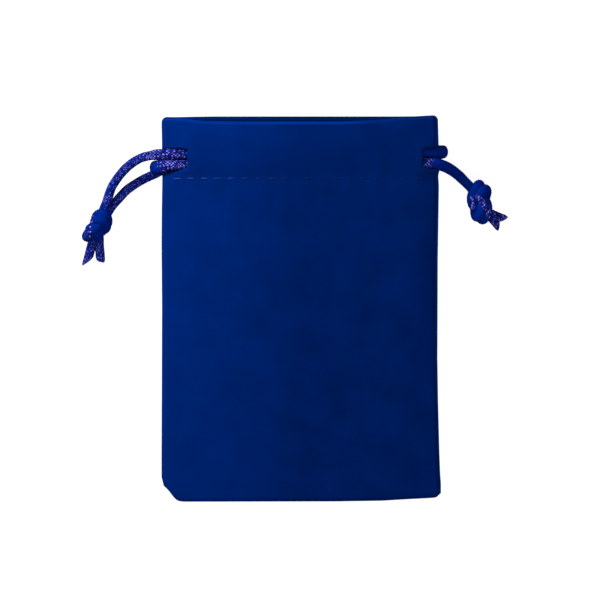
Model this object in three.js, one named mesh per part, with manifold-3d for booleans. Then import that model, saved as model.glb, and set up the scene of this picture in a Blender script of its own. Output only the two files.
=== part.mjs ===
// A small velvet drawstring gift pouch, lying flat on its back.
// Millimetres. +X is to the right of the pouch, +Y runs towards the mouth and +Z is up, off the
// table. The origin is on the table under the middle of the pouch.
//
// Each panel is one piece of cloth: it runs up from the bottom seam, folds inwards at the rim and
// comes down inside as the hem. The hem stitching closes the fold into a casing, and both
// drawcords run through the casings of both panels.

import * as THREE from 'three';
import { mergeVertices } from 'three/addons/utils/BufferGeometryUtils.js';
import Module from 'manifold-3d';

// ---- driving dimensions -------------------------------------------------------------------
const WIDTH = 50;
const HEIGHT = 70;
const CLOTH = 0.7; // thickness of the velvet in the outer layer
const HEM = 0.5; // thickness of the turned-in layer, pressed thinner
const CORD = 1.8; // diameter of the drawcord
const LAYER_GAP = 0.2; // free space left between layers, and round a cord in its casing
const SEAM_GAP = 0.3; // free space left between the two panels along the seams
const MOUTH_GAP = 4.6; // the mouth stands ajar by this much

const STITCH_Y = 23.8; // hem stitching, below the rim
const HEM_END_Y = 22.8; // raw edge of the turned-in layer
const BELLY_Y = 12; // above this the belly narrows to the casing
const BELLY_HALF = 5.2; // half thickness of the belly
const FULL_POWER = 1.2; // how soon it fills above the bottom seam, 1 is a plain wedge
const RIM_DIP = 0.8; // the front rim hangs this much lower in its middle

const FRONT_EDGE = 2.6; // half thickness at the side seam, front half
const BACK_EDGE = 1.6; // and back half, which the strands lift
const EDGE_ROUND = 2; // how far in from the side the edge is rounded
const FLAT_HALF = 13; // half width of the flat middle, which the pouch lies on

const LEFT_SLIT = 20.3; // cord slits in the casing, from the middle
const RIGHT_SLIT = 22.1;
const LEFT_SLOT = 1; // width of the opening that each slit leaves
const RIGHT_SLOT = 0.9;
const SLIT_LOW = 24.8;
const SLIT_HIGH = 29.4;

const CORNER_CUT = 3.2; // the bottom left corner isn't pushed fully out
const THREAD = 0.3;
const FILLS = 8; // sides of a cord's section

// ---- heights that follow from them -----------------------------------------------------------
const HALF_WIDTH = WIDTH / 2;
const BOTTOM = -HEIGHT / 2;
const TOP = HEIGHT / 2;
const HEM_IN = MOUTH_GAP / 2; // pocket side of the hem, from the middle plane
const LAID_OUT = HEM_IN + HEM + LAYER_GAP + CLOTH; // outer face where the layers lie together
const CASING_OUT = LAID_OUT + CORD + LAYER_GAP; // outer face over the cords
const SEAM_HALF = CLOTH + SEAM_GAP / 2; // half thickness at the bottom seam
const EDGE_LAYERS = CLOTH + LAYER_GAP / 2; // depth of the hem's outer face at the side
const RIM_ROUND = (LAID_OUT - HEM_IN) / 2;
const RIM_Y = TOP - RIM_ROUND;
const LANE_Z = HEM_IN + HEM + LAYER_GAP + CORD / 2; // a cord in its casing, from the middle plane

const mix = (a, b, t) => a + (b - a) * t;
const smooth = (a, b, v) => THREE.MathUtils.smoothstep(v, a, b);

// how full the pouch is on the way up from the bottom seam, 0 to 1
const fullness = (y) => 1 - (1 - Math.min((y - BOTTOM) / (BELLY_Y - BOTTOM), 1)) ** FULL_POWER;
// 0 in the belly, 1 in the casing
const neck = (y) => smooth(BELLY_Y, STITCH_Y, y);
// 1 over the cords' lanes, 0 along the stitching and along the rim
const overLanes = (y) => smooth(24, 25.8, y) * (1 - smooth(28.8, 31.2, y));
// 1 between the slits, 0 in the side strips that the cords pass over
const betweenSlits = (x) => (x < 0
  ? 1 - smooth(LEFT_SLIT, LEFT_SLIT + LEFT_SLOT, -x)
  : 1 - smooth(RIGHT_SLIT, RIGHT_SLIT + RIGHT_SLOT, x));
// 1 in the middle of the width, 0 at the sides
const centre = (x, y) => 1 - smooth(FLAT_HALF, mix(23, 20, neck(y)), Math.abs(x));

const bellyHalf = (y) => mix(SEAM_HALF, BELLY_HALF, fullness(y));
const middleZ = (y) => mix(bellyHalf(y), CASING_OUT, neck(y));
const middleHalf = (y) => mix(bellyHalf(y), LAID_OUT, neck(y));

const COLUMNS = [0, 7, 13, 17, 20];
const EDGE_ANGLES = [68, 46, 24, 0];

// Columns across the pouch: x on the flat part, then angles round the side edge.
function columns() {
  const side = (sign, slit, slot) => [
    ...COLUMNS.slice(1).map((x) => ({ x: sign * x, angle: 90 })),
    { x: sign * slit, angle: 90 },
    { x: sign * (slit + slot), angle: 90 },
    ...(slit + slot < HALF_WIDTH - EDGE_ROUND
      ? [{ x: sign * (HALF_WIDTH - EDGE_ROUND), angle: 90 }]
      : []),
    ...EDGE_ANGLES.map((angle) => ({ x: sign * (HALF_WIDTH - EDGE_ROUND), angle })),
  ];
  const left = side(-1, LEFT_SLIT, LEFT_SLOT).reverse();
  return [...left, { x: 0, angle: 90 }, ...side(1, RIGHT_SLIT, RIGHT_SLOT)];
}

// Rows along the cloth: up the outer layer, round the rim, and down the hem.
function rows() {
  const outer = [BOTTOM, -33.5, -30, -25, -18, -10, 0, BELLY_Y, 16, 20, STITCH_Y, 24.1, 24.9, 25.8]
    .concat([28.8, 30, 31.2, 33, RIM_Y]).map((y) => ({ y, turn: 0 }));
  const rim = [45, 90, 135].map((turn) => ({ y: RIM_Y, turn }));
  const hem = [RIM_Y, 31, 27, STITCH_Y, HEM_END_Y].map((y) => ({ y, turn: 180 }));
  return [...outer, ...rim, ...hem];
}

// One point on a panel. side is 1 on the front panel and -1 on the back one; depth is measured
// inwards from the outer face, and hem tells the turned-in layer from the outer one.
function sectionPoint(column, y, edge, side, depth, hem) {
  const edgeHalf = mix(SEAM_HALF, edge, fullness(y));
  const round = Math.min(EDGE_ROUND, HALF_WIDTH - Math.abs(column.x));
  const angle = THREE.MathUtils.degToRad(column.angle);
  const x = column.x + Math.sign(column.x) * (round - depth) * Math.cos(angle);
  const half = SEAM_GAP / 2 + (edgeHalf - depth - SEAM_GAP / 2) * Math.sin(angle);
  const laid = (middleHalf(y) - edgeHalf) * centre(column.x, y);
  const hemLift = (HEM_IN + HEM + EDGE_LAYERS - edgeHalf) * centre(column.x, y);
  const raised = (CASING_OUT - edgeHalf - laid) * overLanes(y) * betweenSlits(column.x);
  const lift = hem ? hemLift : laid + raised;
  return new THREE.Vector3(x, y, middleZ(y) + side * (half + lift * Math.sin(angle)));
}

// One panel with its folded rim and hem, bent from a flat slab.
function panel(side, edge, rimDip) {
  const across = columns();
  const along = rows();
  const slab = new THREE.BoxGeometry(1, 1, 1, across.length - 1, along.length - 1, 1);
  const at = slab.attributes.position;
  for (let i = 0; i < at.count; i += 1) {
    const column = across[Math.round((at.getX(i) + 0.5) * (across.length - 1))];
    const row = along[Math.round((at.getY(i) + 0.5) * (along.length - 1))];
    const isOuter = at.getZ(i) * side > 0;
    const outer = sectionPoint(column, row.y, edge, side, isOuter ? 0 : CLOTH, false);
    const hemDepth = isOuter ? EDGE_LAYERS + HEM : EDGE_LAYERS;
    const hem = sectionPoint(column, row.y, edge, side, hemDepth, true);
    const turn = THREE.MathUtils.degToRad(row.turn);
    const point = outer.lerp(hem, (1 - Math.cos(turn)) / 2);
    point.y += (isOuter ? RIM_ROUND : LAYER_GAP / 2) * Math.sin(turn);
    point.y -= rimDip * smooth(31, RIM_Y, row.y) * (1 - (point.x / HALF_WIDTH) ** 2);
    at.setXYZ(i, point.x, point.y, point.z);
  }
  return slab;
}

// ---- boolean cuts -----------------------------------------------------------------------------
const wasm = await Module();
wasm.setup();

function toSolid(geometry) {
  const bare = geometry.clone();
  bare.deleteAttribute('normal');
  bare.deleteAttribute('uv');
  const merged = mergeVertices(bare, 1e-4);
  return new wasm.Manifold(new wasm.Mesh({
    numProp: 3,
    vertProperties: new Float32Array(merged.attributes.position.array),
    triVerts: new Uint32Array(merged.index.array),
  }));
}

function toGeometry(solid) {
  const mesh = solid.getMesh();
  const geometry = new THREE.BufferGeometry();
  geometry.setAttribute('position', new THREE.BufferAttribute(mesh.vertProperties, 3));
  geometry.setIndex(new THREE.BufferAttribute(mesh.triVerts, 1));
  geometry.computeVertexNormals();
  return geometry;
}

// Cutter for one slit: it opens the outer layer only.
function slitCutter(side, edge, from, to) {
  const reach = 6;
  const depth = edge - CLOTH - LAYER_GAP / 4;
  const cutter = new THREE.BoxGeometry(Math.abs(to - from), SLIT_HIGH - SLIT_LOW, reach);
  cutter.translate((from + to) / 2, (SLIT_LOW + SLIT_HIGH) / 2, CASING_OUT);
  return cutter.translate(0, 0, side * (depth + reach / 2));
}

function cornerCutter() {
  const diagonal = CORNER_CUT * Math.SQRT2;
  const cutter = new THREE.BoxGeometry(diagonal * 2, diagonal, WIDTH);
  cutter.translate(0, -diagonal / 2, 0);
  cutter.rotateZ(-Math.PI / 4);
  return cutter.translate(-HALF_WIDTH + CORNER_CUT / 2, BOTTOM + CORNER_CUT / 2, 0);
}

function cutPanel(side, edge, rimDip) {
  const spare = 0.02;
  let solid = toSolid(panel(side, edge, rimDip));
  const cutters = [
    slitCutter(side, edge, -LEFT_SLIT - LEFT_SLOT - spare, -LEFT_SLIT),
    slitCutter(side, edge, RIGHT_SLIT, RIGHT_SLIT + RIGHT_SLOT + spare),
    cornerCutter(),
  ];
  for (const cutter of cutters) {
    solid = solid.subtract(toSolid(cutter));
  }
  return toGeometry(solid);
}

// ---- cords and threads -------------------------------------------------------------------------
// A round tube through a list of points, closed at both ends.
function tube(points, diameter, steps, sides) {
  const section = new THREE.Shape();
  section.absarc(0, 0, diameter / 2, 0, Math.PI * 2, false);
  return new THREE.ExtrudeGeometry(section, {
    steps,
    curveSegments: sides / 2,
    bevelEnabled: false,
    extrudePath: new THREE.CatmullRomCurve3(points.map((p) => new THREE.Vector3(...p))),
  });
}

const FRONT_LANE = CASING_OUT + LANE_Z;
const BACK_LANE = CASING_OUT - LANE_Z;
const ON_TABLE = CORD / 2 + 0.02;

// Left drawcord: from the top of its knot over the front, round the right side, and back
// underneath. Its rear strand passes under the right drawcord's loop.
const LEFT_CORD_ROUTE = [
  [-35.7, 19.2, 2.7], [-35.2, 20.4, 2.5], [-34.4, 22.2, 2.5], [-32.9, 24.3, 3.1],
  [-31.2, 26, 4.3], [-29, 27.3, 6.1], [-26.9, 27.9, 7.9], [-24.8, 28.1, 9.1],
  [-22.5, 28.2, 9.55], [-20, 28.25, FRONT_LANE], [-8, 28.3, FRONT_LANE],
  [8, 28.3, FRONT_LANE], [20, 28.3, FRONT_LANE], [22.4, 28.35, FRONT_LANE - 0.02],
  [24.15, 28.4, 9.08], [25.58, 28.45, 7.65], [26.1, 28.45, 5.7], [25.58, 28.4, 3.75],
  [24.15, 28.35, 2.32], [22.2, 28.3, 1.85], [20, 28.3, BACK_LANE], [8, 28.3, BACK_LANE],
  [-8, 28.3, BACK_LANE], [-18.6, 28.3, BACK_LANE], [-20.3, 28.2, 1.72],
  [-21.5, 27.75, 1.38], [-22.5, 27.15, 1.07], [-23.5, 26.45, ON_TABLE],
  [-24.6, 25.75, ON_TABLE], [-25.8, 25.05, ON_TABLE], [-26.9, 24.5, ON_TABLE],
  [-29.2, 23.4, ON_TABLE], [-31.8, 21.7, ON_TABLE], [-33.6, 20.1, ON_TABLE],
  [-34.9, 18.8, ON_TABLE],
];

// Right drawcord: from its knot over the front, round the left side, and back underneath,
// where its two strands lie one on the other.
const RIGHT_CORD_ROUTE = [
  [30.9, 22.3, 2.95], [30.3, 23, 3.3], [29.2, 24.1, 4.4], [28, 25, 5.9], [26.7, 25.75, 7.6],
  [24.9, 26.25, 9.05], [22.6, 26.3, 9.55], [20, 26.3, FRONT_LANE], [8, 26.3, FRONT_LANE],
  [-8, 26.3, FRONT_LANE], [-19, 26.3, FRONT_LANE], [-22.2, 26.1, 9.58],
  [-24.3, 25.8, 9.14], [-25.9, 25.65, 7.9], [-26.45, 25.6, 6.2], [-25.9, 25.5, 4.4],
  [-24.4, 25.55, 3.15], [-22.4, 25.95, 2.72], [-20.6, 26.2, 2.3], [-18.4, 26.3, BACK_LANE],
  [-8, 26.3, BACK_LANE], [8, 26.3, BACK_LANE], [20, 26.3, BACK_LANE], [22.4, 26.3, 1.76],
  [24.2, 26.28, 1.4], [25.6, 26.1, 1.05], [26.8, 25.7, ON_TABLE], [28, 25, ON_TABLE], [29.2, 24.1, ON_TABLE],
  [30.3, 23, ON_TABLE], [30.9, 22.3, ON_TABLE],
];

// The two cut ends of each cord, below its knot, with their tips last.
const CORD_ENDS = {
  left_cord_end_outer: [[-37.9, 11.7, ON_TABLE], [-38.7, 9.9, ON_TABLE], [-39.4, 8, ON_TABLE]],
  left_cord_end_inner: [[-35.9, 11.8, ON_TABLE], [-36.1, 10.3, ON_TABLE], [-36.4, 8.8, ON_TABLE]],
  right_cord_end_outer: [[35.8, 17.8, ON_TABLE], [36.9, 17, ON_TABLE], [37.9, 16.2, ON_TABLE]],
  right_cord_end_inner: [[35.4, 15.4, ON_TABLE], [35.9, 14.9, ON_TABLE], [36.4, 14.3, ON_TABLE]],
};

const GROOVE_DEPTH = 0.1; // between a knot's turns, as a part of its radius

// A double-strand overhand knot, drawn tight: a barrel of three turns with rounded ends.
function knot({ at, length, radius, tilt }) {
  const profile = [new THREE.Vector2(0, -length / 2)];
  const turns = 3;
  const stops = 12;
  for (let i = 1; i < stops; i += 1) {
    const v = i / stops;
    const barrel = Math.sqrt(Math.sin(Math.PI * v));
    const lobe = (1 - Math.cos(2 * Math.PI * turns * v)) / 2;
    const waist = mix(1 - GROOVE_DEPTH, 1, lobe);
    profile.push(new THREE.Vector2(radius * barrel * waist, (v - 0.5) * length));
  }
  profile.push(new THREE.Vector2(0, length / 2));
  return new THREE.LatheGeometry(profile, 14).rotateZ(tilt).translate(...at);
}

const KNOTS = {
  left_knot: { at: [-36.6, 15.3, 2.4], length: 6.2, radius: 2.3, tilt: -0.15 },
  right_knot: { at: [33.2, 19, 2.3], length: 8, radius: 2.15, tilt: 0.08 },
};

// A thread that lies along the hem stitching, just clear of the outer face.
function hemThread(side, edge) {
  const clear = THREAD / 2 + 0.1;
  const points = [];
  for (let x = -22; x <= 22; x += 2) {
    const face = sectionPoint({ x, angle: 90 }, STITCH_Y, edge, side, -clear, false);
    points.push([x, STITCH_Y, face.z]);
  }
  return tube(points, THREAD, 22, 6);
}

const SEAM_INSET = 1.8; // seam threads lie this far in from the outer edge
const SEAM_THREAD = 0.24;

function sideSeamThread(sign) {
  const points = [];
  for (let y = -30; y <= 33; y += 3) {
    points.push([sign * (HALF_WIDTH - SEAM_INSET), y, middleZ(y)]);
  }
  return tube(points, SEAM_THREAD, 42, 6);
}

function bottomSeamThread() {
  const y = BOTTOM + SEAM_INSET;
  return tube([[-20, y, middleZ(y)], [0, y, middleZ(y)], [22, y, middleZ(y)]], SEAM_THREAD, 14, 6);
}

// ---- materials ----------------------------------------------------------------------------------
const velvet = () => new THREE.MeshStandardMaterial({ color: 0x00245a, roughness: 0.9 });
const satinCord = () => new THREE.MeshStandardMaterial({ color: 0x201f86, roughness: 0.4 });
const paleThread = () => new THREE.MeshStandardMaterial({ color: 0x2f4f9e, roughness: 0.6 });
const blueThread = () => new THREE.MeshStandardMaterial({ color: 0x0b2566, roughness: 0.6 });

// ---- assembly -------------------------------------------------------------------------------------
const pouch = new THREE.Group();

function add(name, geometry, material) {
  const mesh = new THREE.Mesh(geometry, material);
  mesh.name = name;
  pouch.add(mesh);
}

add('front_panel', cutPanel(1, FRONT_EDGE, RIM_DIP), velvet());
add('back_panel', cutPanel(-1, BACK_EDGE, 0), velvet());
add('front_hem_stitching', hemThread(1, FRONT_EDGE), paleThread());
add('back_hem_stitching', hemThread(-1, BACK_EDGE), paleThread());
add('left_seam_stitching', sideSeamThread(-1), blueThread());
add('right_seam_stitching', sideSeamThread(1), blueThread());
add('bottom_seam_stitching', bottomSeamThread(), blueThread());
add('left_drawcord', tube(LEFT_CORD_ROUTE, CORD, 80, FILLS), satinCord());
add('right_drawcord', tube(RIGHT_CORD_ROUTE, CORD, 80, FILLS), satinCord());
for (const [name, dims] of Object.entries(KNOTS)) {
  add(name, knot(dims), satinCord());
}
for (const [name, points] of Object.entries(CORD_ENDS)) {
  add(name, tube(points, CORD, 3, FILLS), satinCord());
}

export default pouch;
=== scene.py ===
"""A royal-blue velvet drawstring gift pouch, lying flat on its back and seen from above.

The CAD frame's panels, cords, knots and threads are stood for by finer pieces made here.
Shapes are worked out in millimetres, in the frame's axes: +X to the pouch's right, +Y towards
its mouth and +Z up from the table. Meshes are made in metres.
"""

import math

import bpy
import numpy as np
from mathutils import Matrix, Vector


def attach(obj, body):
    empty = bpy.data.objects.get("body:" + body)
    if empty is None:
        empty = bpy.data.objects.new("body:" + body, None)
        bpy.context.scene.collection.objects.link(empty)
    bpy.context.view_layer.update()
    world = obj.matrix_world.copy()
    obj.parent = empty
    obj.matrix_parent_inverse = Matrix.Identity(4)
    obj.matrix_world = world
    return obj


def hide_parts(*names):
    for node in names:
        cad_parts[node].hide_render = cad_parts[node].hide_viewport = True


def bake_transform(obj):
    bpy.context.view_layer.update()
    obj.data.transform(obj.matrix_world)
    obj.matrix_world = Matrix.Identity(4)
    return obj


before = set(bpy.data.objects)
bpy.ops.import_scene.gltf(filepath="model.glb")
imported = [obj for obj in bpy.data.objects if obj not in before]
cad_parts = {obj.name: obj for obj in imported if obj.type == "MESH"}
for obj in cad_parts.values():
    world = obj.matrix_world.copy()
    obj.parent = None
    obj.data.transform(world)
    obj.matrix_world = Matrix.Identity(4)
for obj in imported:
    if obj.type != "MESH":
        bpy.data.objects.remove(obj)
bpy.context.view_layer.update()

MM = 0.001

# ---- the pouch's dimensions, in millimetres, as in the CAD part ----
HALF_WIDTH = 25.0
BOTTOM = -35.0
CLOTH = 0.7  # thickness of the velvet in the outer layer
HEM = 0.5  # thickness of the turned-in layer
CORD = 1.8  # diameter of the drawcord
STITCH_Y = 23.8  # lower end of the casing
HEM_END_Y = 22.8  # raw edge of the turned-in layer
BELLY_Y = 12.0  # above this the belly narrows to the casing
BELLY_HALF = 5.2  # half thickness of the belly
FULL_POWER = 1.2  # how soon the pouch fills above the bottom seam, 1 is a plain wedge
MIDDLE_Z = 5.7  # height of the casing's middle plane
SEAM_HALF = 0.85  # half thickness at the bottom seam
FRONT_EDGE = 2.6  # half thickness at the side seams, front half
BACK_EDGE = 1.6  # and back half
HEM_IN = 2.3  # pocket side of the hem, from the middle plane
EDGE_LAYERS = 0.8  # depth of the hem's outer face at the side seams
RIM_Y = 34.3  # here the cloth starts to turn in over the rim
RIM_ROUND = 0.7  # how far the rim's fold stands above that
LEFT_SLIT = 20.3  # cord slits in the casing, from the middle
RIGHT_SLIT = 22.1

# ---- how the finer cloth differs from the CAD's ----
EDGE_ROUND = 1.2  # how far in from the side the edge is rounded
SEAM_GAP = 0.05  # from each panel to the middle plane, along the seams
SLIT_LOW = 25.45
SLIT_HIGH = 28.7
SLOT = 0.5  # how far a slit gapes
LEFT_SLIT_SLANT = 0.9  # how much lower the left slit's strip starts at the side edge
RIGHT_LATE = 1.3  # past the right slit, where the cloth above and below it starts to fall
LEFT_FLAT = 9.0  # how far from the middle the belly is flat, to the left and to the right
RIGHT_FLAT = 17.0
CASING_FLAT = 15.0  # and the casing, on both sides
CASING_FULL_Y = 21.0  # the casing's own profile holds above this
RIGHT_EDGE_MORE = 1.3  # the front's right edge stands fuller, except under the cords
LEFT_CORNER = 0.35  # size of the rounded top corners
RIGHT_CORNER = 0.25
BOTTOM_ROUND = 0.9  # how far up the bottom edge is rounded
LAYER_CLEAR = 0.05  # between the hem and the outer layer
TABLE_CLEAR = 0.02
HEM_RIM_ROUND = 0.1  # how far the fold's inner face stands above RIM_Y


def mix(a, b, t):
    return a + (b - a) * t


def smooth(a, b, v):
    t = np.clip((v - a) / (b - a), 0, 1)
    return t * t * (3 - 2 * t)


def smoothed(points, width):
    """A smooth function of one coordinate that follows the given points."""
    ys = np.linspace(points[0][0] - 10, points[-1][0] + 10, 2000)
    values = np.interp(ys, [p[0] for p in points], [p[1] for p in points])
    step = ys[1] - ys[0]
    reach = int(2.5 * width / step)
    weights = np.exp(-0.5 * (np.arange(-reach, reach + 1) * step / width) ** 2)
    padded = np.pad(values, reach, mode="edge")
    values = np.convolve(padded, weights / weights.sum(), mode="valid")
    return lambda y: np.interp(y, ys, values)


# half thickness of the casing in mid-width, from below the stitching to the rim
CASING_HALF = smoothed([
    (20.5, 4.95), (22.3, 5.0), (23.8, 4.98), (25.2, 5.3), (27.2, 5.58), (29.3, 5.56),
    (31.0, 5.4), (32.3, 5.14), (33.3, 4.8), (34.3, 4.2),
], 0.45)
# half width of the flat pouch up its two sides, from the bottom seam to the mouth
LEFT_HALF = smoothed([
    (-35.5, 24.8), (-34.6, 25.05), (-33.6, 25.33), (-26, 25.3), (-14, 25.2), (-6, 25.15),
    (0, 25.1), (12, 25.15), (18, 25.1), (22.5, 25.0), (24.2, 24.98), (25.3, 25.12), (30, 25.05),
    (34, 25.12),
], 0.35)
RIGHT_HALF = smoothed([
    (-33, 25.78), (-31, 25.64), (-26, 25.46), (-22, 25.34), (-17, 25.19), (-9, 25.03), (9, 25.03),
    (15, 25.11), (22.5, 25.21), (24.2, 25.06), (25.3, 25.4), (30, 25.14), (34, 25.06),
], 0.35)
# how far the bottom edge lies above its lowest line, from left to right
BOTTOM_RISE = smoothed([
    (-25.3, 3.2), (-24.3, 2.4), (-23.8, 1.7), (-22.9, 0.55), (-22.2, 0.1), (-21.2, 0),
    (7, 0.06), (15, 0.18), (20, 0.48), (24.3, 0.68), (25.1, 0.85), (25.6, 1.6),
], 0.18)
BOTTOM_SAG = 0.31  # and how far that line lies below the bottom seam's place
# how far the front rim and the back rim hang below the mouth's line, from left to right
RIM_DIP = smoothed([
    (-25, 0.5), (-21.5, 0.5), (-19.5, 0.85), (-17, 1.1), (-14, 1.18), (-8, 1.2), (8, 1.2),
    (15, 0.85), (18.5, 0.4), (22, 0.17), (25, 0.0),
], 0.8)
BACK_RIM_DIP = smoothed([(-25, 0.1), (-22.5, 0.07), (-20, -0.05), (-16, -0.12), (25, -0.12)], 0.8)
# heights of the cloth's slight unevenness: broad, fine, and in pulls along the stitching
BROAD_RIPPLE = 0.10
FINE_RIPPLE = 0.035
STITCH_PULLS = 0.05

# ---- meshes and stitches ----
GRID = 0.35  # size of the cloth's faces
FINE_GRID = GRID * 0.8  # and in the casing
STITCH_ROW = 23.52  # height of the hem stitches
STITCH_PITCH = 2.47
STITCH_LENGTH = 1.55
STITCH_THICK = 0.11
STITCH_STANDS = 0.13  # how far a stitch's middle lies outside the cloth
STITCH_DIVES = 0.36  # and how far its ends go in from there
SIDE_SEAM_X = 23.2  # the side seams' threads, from the middle
BOTTOM_SEAM_Y = BOTTOM + 1.8
THREAD_SIDES = 10
THREAD_RINGS = 15

# ---- the cords' meshes ----
CORD_RADIUS = 0.87  # to the middle of the braid's relief
BRAID_CELLS = 10  # diamonds round the cord
BRAID_PITCH = 0.62  # along the cord from a diamond to the next in line
BRAID_DEPTH = 0.09
RING_STEP = 0.1
RING_SIDES = 60
PATH_SMOOTHINGS = 60
SLACK_WIDTH = 0.95  # width of the cord away from its knot, where it isn't pulled tight
SLANT_REACH = 2.2  # the slant of a cut end fades out over this length
TIP_REACH = 0.5  # and its narrowing over this

# ---- weights worked out in gather ----
CASING_FULL = 22.0  # gather's weight is full above this and none below CASING_NONE; the weight is not used
CASING_NONE = -6.0


# ---- the cloth's shape ----
def fullness(y):
    """How full the pouch is above the bottom seam, 0 to 1."""
    return 1 - (1 - np.clip((y - BOTTOM) / (BELLY_Y - BOTTOM), 0, 1)) ** FULL_POWER


def neck(y):
    """0 in the belly, 1 in the casing."""
    return smooth(BELLY_Y, STITCH_Y, y)


def beside_slits(y):
    """1 where the casing stands full up to the slits, 0 where it slopes to its sides."""
    return smooth(22.6, 25.0, y) * (1 - smooth(29.2, 33.0, y))


def hem_under_lanes(y):
    """1 where the hem passes under the cords, 0 where it lies on the outer layer."""
    return smooth(23.9, 25.2, y) * (1 - smooth(29.4, 31.6, y))


def between_slits(x, y):
    """1 between the slits, 0 in the side strips that the cords pass over."""
    slit = np.where(x < 0, LEFT_SLIT, RIGHT_SLIT)
    outwards = np.clip((np.abs(x) - slit) / (HALF_WIDTH - slit), 0, 1)
    low = SLIT_LOW - np.where(x < 0, LEFT_SLIT_SLANT, 0) * outwards
    in_slit = smooth(low - 0.3, low + 0.2, y) * (1 - smooth(SLIT_HIGH - 0.2, SLIT_HIGH + 0.3, y))
    start = slit + np.where(x < 0, 0, RIGHT_LATE) * (1 - in_slit)
    end = mix(HALF_WIDTH, slit + SLOT, in_slit)
    return 1 - smooth(start, end, np.abs(x))


def centre(x, y):
    """1 in the middle of the width, 0 at the sides."""
    flat = mix(np.where(x < 0, LEFT_FLAT, RIGHT_FLAT), CASING_FLAT, neck(y))
    return 1 - np.clip((np.abs(x) - flat) / (HALF_WIDTH - flat), 0, 1) ** 3


def laid_half(y):
    """Half thickness in the middle of the width, away from the cords."""
    belly = mix(SEAM_HALF, BELLY_HALF, fullness(y))
    return mix(belly, CASING_HALF(y), smooth(BELLY_Y, CASING_FULL_Y, y))


def middle_z(y):
    """Height of the plane between the panels: the back lies on the table."""
    return mix(mix(SEAM_HALF, BELLY_HALF, fullness(y)), MIDDLE_Z, neck(y))


def ripple(x, y, side):
    """The cloth's slight unevenness."""
    shift = 0.0 if side > 0 else 1.9
    broad = np.sin(0.21 * x + 0.13 * y + 0.6 + shift) * np.sin(0.17 * y - 0.09 * x + 1.1)
    fine = np.sin(0.83 * x + 0.21 * y + 2.0 * shift) * np.sin(0.35 * y + 0.11 * x + 0.4)
    pulls = np.sin(1.55 * x + 0.9 * np.sin(0.31 * x + shift)) * np.exp(-(((y - 22.5) / 2.6) ** 2))
    calm = smooth(BOTTOM, BOTTOM + 5, y) * (1 - smooth(31.5, 34.2, y))
    return calm * (BROAD_RIPPLE * broad + FINE_RIPPLE * fine + STITCH_PULLS * pulls)


def top_fall(x):
    """How far the mouth's line falls where the top corners are rounded."""
    size = np.where(x < 0, LEFT_CORNER, RIGHT_CORNER)
    corner = np.clip((np.abs(x) - (HALF_WIDTH - size)) / size, 0, 1)
    return size * (1 - np.sqrt(1 - 0.98 * corner**2))


def outline(x, y):
    """How far a side edge stands out from the nominal width."""
    return np.where(x > 0, RIGHT_HALF(y), LEFT_HALF(y)) - HALF_WIDTH


def edge_half_at(x, y, side):
    """Half thickness of a panel's half of the pouch at its side edges."""
    edge_full = BACK_EDGE
    if side > 0:
        beside_lanes = 1 - smooth(23.4, 25.0, y) * (1 - smooth(28.9, 30.2, y))
        edge_full = FRONT_EDGE + RIGHT_EDGE_MORE * smooth(5, 15, x) * beside_lanes
    return mix(SEAM_HALF, edge_full, fullness(y))


def outer_lift(x, y, edge_half):
    """How much further out the outer layer stands than at its side edges."""
    spread = mix(centre(x, y), between_slits(x, y), beside_slits(y))
    return (laid_half(y) - edge_half) * spread


def hem_lift(x, y, edge_half):
    """The same for the hem, which drops away to let the cords pass."""
    away = laid_half(y) - CLOTH - LAYER_CLEAR
    hem_out = mix(away, HEM_IN + HEM, hem_under_lanes(y))
    low_sides = 1 - smooth(13.0, 20.0, np.abs(x))
    return (hem_out + EDGE_LAYERS - edge_half) * mix(centre(x, y), low_sides, hem_under_lanes(y))


def face_point(x, angle, y, side, depth, hem=False):
    """A point of a panel: side is 1 in front and -1 behind, depth goes inwards."""
    edge_half = edge_half_at(x, y, side)
    sign = np.sign(x)
    reach = np.minimum(EDGE_ROUND, HALF_WIDTH - np.abs(x))
    cos, sin = np.cos(angle), np.sin(angle)
    out_x = x + sign * (reach - depth) * cos
    out_x = out_x + sign * outline(x, y) * smooth(21.5, 24.5, np.abs(out_x))
    half = (edge_half - depth - SEAM_GAP) * sin
    lift = (hem_lift if hem else outer_lift)(x, y, edge_half)
    lift = lift + ripple(x, y, side)
    rounding = np.sqrt(1 - np.clip(1 - (y - BOTTOM) / BOTTOM_ROUND, 0, 1) ** 2)
    z = middle_z(y) + side * (SEAM_GAP + rounding * (half + lift * sin))
    z = np.maximum(z, depth + TABLE_CLEAR)
    rise = (BOTTOM_RISE(out_x) - BOTTOM_SAG) * (1 - smooth(BOTTOM, BOTTOM + 9, y))
    fall = top_fall(out_x) * smooth(31, RIM_Y, y)
    return np.stack([out_x, y + rise - fall, z], -1)


def steps(a, b, size):
    """Evenly spaced values from a towards b, without b."""
    count = max(1, round(abs(b - a) / size))
    return list(np.linspace(a, b, count, endpoint=False))


def cloth_columns():
    """Columns across the pouch: x on the flat part, then angles round the side edges."""
    flat_end = HALF_WIDTH - EDGE_ROUND
    right = steps(0, RIGHT_SLIT, GRID) + [RIGHT_SLIT, RIGHT_SLIT + SLOT, flat_end]
    left = steps(0, LEFT_SLIT, GRID)[1:] + [LEFT_SLIT, LEFT_SLIT + SLOT]
    left += steps(LEFT_SLIT + SLOT, flat_end, GRID)[1:] + [flat_end]
    turns = list(np.radians(np.linspace(80, 0, 10)))
    xs = [-flat_end] * len(turns) + [-x for x in reversed(left)] + right + [flat_end] * len(turns)
    angles = turns[::-1] + [math.pi / 2] * (len(left) + len(right)) + turns
    return np.array(xs), np.array(angles)


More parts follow.
